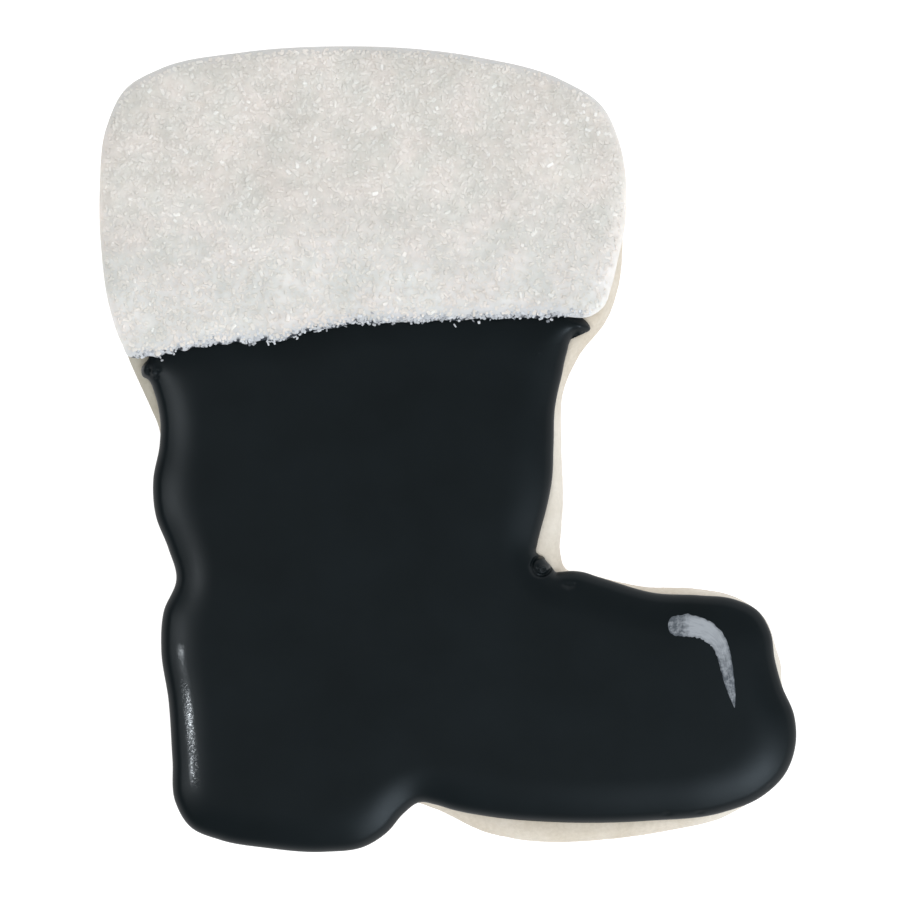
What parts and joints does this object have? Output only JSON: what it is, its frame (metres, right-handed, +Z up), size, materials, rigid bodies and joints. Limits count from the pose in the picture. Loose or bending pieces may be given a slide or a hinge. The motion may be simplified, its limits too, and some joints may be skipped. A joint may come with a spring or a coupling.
{
  "type": "boot-shaped iced sugar cookie",
  "caption": "Flat rolled cookie cut as a winter boot, flooded with black icing, with a white sugared icing cuff and a pale highlight brushed on the toe.",
  "frame": {"origin": "middle of the whole cookie's box, on the flat underside that it rests on", "axes": "+X towards the toe, +Y towards the cuff, +Z up out of the iced face"},
  "size_m": [0.0872, 0.1008, 0.0104],
  "materials": {
    "baked_dough": "pale baked crumb, dry and finely pitted",
    "black_royal_icing": "set royal icing, satin with a soft sheen on its rounded edges",
    "sugared_white_icing": "white royal icing strewn with clear coarse sugar",
    "pale_paint": "thin grey-white brush stroke"
  },
  "bodies": {
    "root": {"cookie_base": "baked_dough", "black_icing": "black_royal_icing", "cuff_icing": "sugared_white_icing", "toe_highlight": "pale_paint"}
  },
  "joints": []
}
